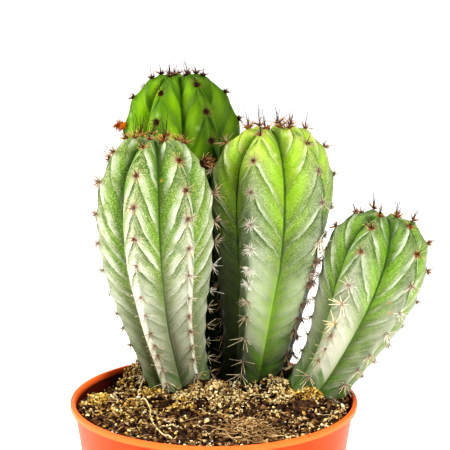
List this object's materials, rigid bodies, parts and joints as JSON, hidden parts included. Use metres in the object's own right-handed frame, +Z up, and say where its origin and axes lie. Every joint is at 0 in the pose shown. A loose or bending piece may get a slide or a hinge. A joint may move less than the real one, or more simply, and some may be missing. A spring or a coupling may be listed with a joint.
{
  "type": "potted cactus",
  "caption": "Clump of upright ribbed cactus stems with spine stars, the short one leaning out, in a round tapered nursery pot full of soil.",
  "frame": {"origin": "centre of the pot's underside, on the ground", "axes": "+Z up along the pot's axis, -Y towards the viewed side, +X to the viewer's right"},
  "size_m": [0.1326, 0.1335, 0.2097],
  "materials": {
    "pot_plastic": "satin orange terracotta-coloured plastic",
    "potting_soil": "loose dark peat with straw and pale grains",
    "stem_skin_left": "waxy green skin with pale chevron bands",
    "stem_skin_centre": "waxy yellow-green skin with pale chevron bands",
    "stem_skin_back": "waxy bright green skin",
    "stem_skin_right": "waxy green skin with pale chevron bands"
  },
  "bodies": {
    "root": {"pot": "pot_plastic", "soil": "potting_soil", "stem_left": "stem_skin_left", "stem_centre": "stem_skin_centre", "stem_back": "stem_skin_back", "stem_right": "stem_skin_right"}
  },
  "joints": []
}
